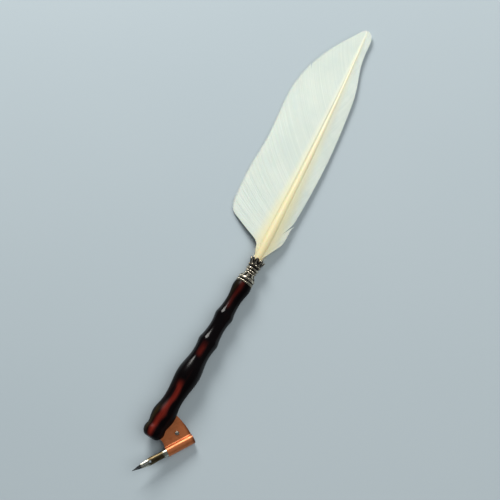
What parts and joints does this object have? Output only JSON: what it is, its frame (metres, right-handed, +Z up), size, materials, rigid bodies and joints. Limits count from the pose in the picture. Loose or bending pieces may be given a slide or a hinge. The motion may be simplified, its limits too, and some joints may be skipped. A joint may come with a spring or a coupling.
{
  "type": "oblique quill dip pen",
  "caption": "Oblique dip pen: turned handle with a copper side flange holding a pointed steel nib, and a white flight feather set in an ornamental silver ferrule.",
  "frame": {"origin": "middle of the pen's footprint, on the table it lies on", "axes": "+X from the nib end towards the feather's tip, parallel to the table; +Y towards the feather's wide vane; +Z up from the table"},
  "size_m": [0.2874, 0.0588, 0.0139],
  "materials": {
    "handle_resin": "polished near-black resin with deep red streaks",
    "copper_sheet": "bright copper sheet, lightly brushed and warm",
    "nib_steel": "bright pressed steel with an ink-dark point",
    "screw_steel": "plated steel",
    "antique_silver": "antique silver with dark recesses",
    "sleeve_brass": "plain brass tube",
    "quill_horn": "smooth cream-yellow quill, satin",
    "vane_white": "white feather barbs, soft sheen"
  },
  "bodies": {
    "pen": {"handle": "handle_resin", "flange": "copper_sheet", "ferrule_sleeve": "sleeve_brass", "ferrule_foot_ring": "antique_silver", "ferrule_bell_cap": "antique_silver", "ferrule_daisy_spacer": "antique_silver", "ferrule_collar_ring": "antique_silver", "ferrule_crown": "antique_silver", "feather_shaft": "quill_horn", "feather_wide_vane": "vane_white", "feather_narrow_vane": "vane_white"},
    "nib": {"nib": "nib_steel"},
    "clamp_screw": {"clamp_screw": "screw_steel"},
    "clamp_nut": {"clamp_nut": "screw_steel"}
  },
  "joints": [
    {"name": "nib_slide", "type": "slide", "parent": "pen", "child": "nib", "axis": [-0.853, 0.5029, 0.1398], "range_m": [0, 0.018]},
    {"name": "screw_turn", "type": "hinge", "parent": "pen", "child": "clamp_screw", "pos_m": [-0.11402, -0.01848, 0.00525], "axis": [0.0247, -0.2286, 0.9732], "range_deg": [0, 720]},
    {"name": "nut_travel", "type": "slide", "parent": "pen", "child": "clamp_nut", "axis": [-0.0247, 0.2286, -0.9732], "range_m": [0, 0.0006]}
  ],
  "couplings": [
    {"joint": "screw_turn", "follows": "nut_travel", "rad_per_m": 20944}
  ]
}
